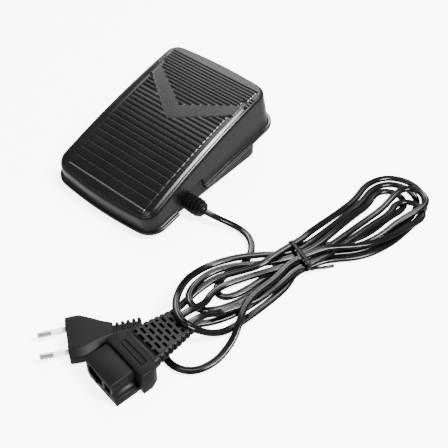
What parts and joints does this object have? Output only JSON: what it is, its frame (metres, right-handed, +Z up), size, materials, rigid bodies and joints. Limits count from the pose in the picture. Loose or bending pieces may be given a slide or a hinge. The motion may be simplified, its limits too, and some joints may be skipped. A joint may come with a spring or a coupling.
{
  "type": "sewing machine foot control",
  "caption": "Black wedge-shaped sewing machine pedal with a ribbed, hinged cover, flat leads tied in a hank, a two-pin mains plug and a machine connector.",
  "frame": {"origin": "bottom centre of the pedal's bounding box (without the leads and what is on them), on the floor", "axes": "+X to the pedal's right, where the lead leaves; +Y to the raised toe end; +Z up"},
  "size_m": [0.2471, 0.3101, 0.0631],
  "materials": {
    "cover_gloss": "glossy black moulded plastic, fine-grain tread",
    "base_plastic": "satin black moulded plastic",
    "rubber_black": "matte rubber",
    "steel": "zinc plated",
    "spring_steel": "drawn wire",
    "board": "phenolic board",
    "component_dark": "moulded epoxy",
    "plunger_white": "acetal",
    "aluminium_raw": "raw extrusion",
    "component_yellow": "boxed film capacitor",
    "ferrite": "ferrite",
    "copper": "enamelled copper wire",
    "resistor_tan": "lacquered film resistor",
    "fuse_glass": "clear",
    "brass_clip": "stamped brass",
    "terminal_green": "moulded nylon",
    "flex_black": "glossy flat twin PVC flex",
    "boot_pvc": "soft PVC",
    "tie_black": "flat plastic over wire",
    "plug_pvc": "fine matte PVC",
    "nickel": "nickel plated brass",
    "sleeve_white": "translucent white",
    "wire_brown": "PVC",
    "wire_blue": "PVC"
  },
  "bodies": {
    "base": {"base_tray": "base_plastic", "tray_fittings": "base_plastic", "rubber_feet": "rubber_black", "hinge_rod": "steel", "rod_caps": "steel", "return_spring_left": "spring_steel", "return_spring_right": "spring_steel", "bump_stops": "rubber_black", "circuit_board": "board", "board_screws": "steel", "slide_resistor_body": "component_dark", "triac": "component_dark", "heat_sink": "aluminium_raw", "film_capacitor": "component_yellow", "choke_core": "ferrite", "choke_winding": "copper", "resistors": "resistor_tan", "diac": "component_dark", "fuse_glass": "fuse_glass", "fuse_caps": "steel", "fuse_clips": "brass_clip", "terminal_block": "terminal_green", "terminal_screws": "steel", "flex_tail": "flex_black", "cord_clamp": "base_plastic", "clamp_screws": "steel", "cord_strain_relief": "boot_pvc", "cord_hank": "flex_black", "cord_tie": "tie_black", "mains_plug_body": "plug_pvc", "plug_pins": "nickel", "plug_pin_sleeves": "sleeve_white", "connector_body": "plug_pvc", "connector_contacts": "brass_clip", "live_wire": "wire_brown", "neutral_wire": "wire_blue", "pedal_lead": "flex_black", "loose_turn": "flex_black", "plug_lead": "flex_black", "connector_lead_a": "flex_black", "connector_lead_b": "flex_black"},
    "cover": {"pedal_cover": "cover_gloss", "cover_fittings": "cover_gloss"},
    "plunger": {"wiper_plunger": "plunger_white"}
  },
  "joints": [
    {"name": "cover_hinge", "type": "hinge", "parent": "base", "child": "cover", "pos_m": [0, -0.055, 0.0115], "axis": [-1, 0, 0], "range_deg": [0, 9], "stiffness_Nm_per_rad": 12, "springref_deg": -5.73, "deforming": ["return_spring_left", "return_spring_right"]},
    {"name": "plunger_slide", "type": "slide", "parent": "base", "child": "plunger", "axis": [0, 0, -1], "range_m": [0, 0.0106]}
  ],
  "couplings": [
    {"joint": "plunger_slide", "follows": "cover_hinge", "m_per_rad": 0.0662}
  ]
}
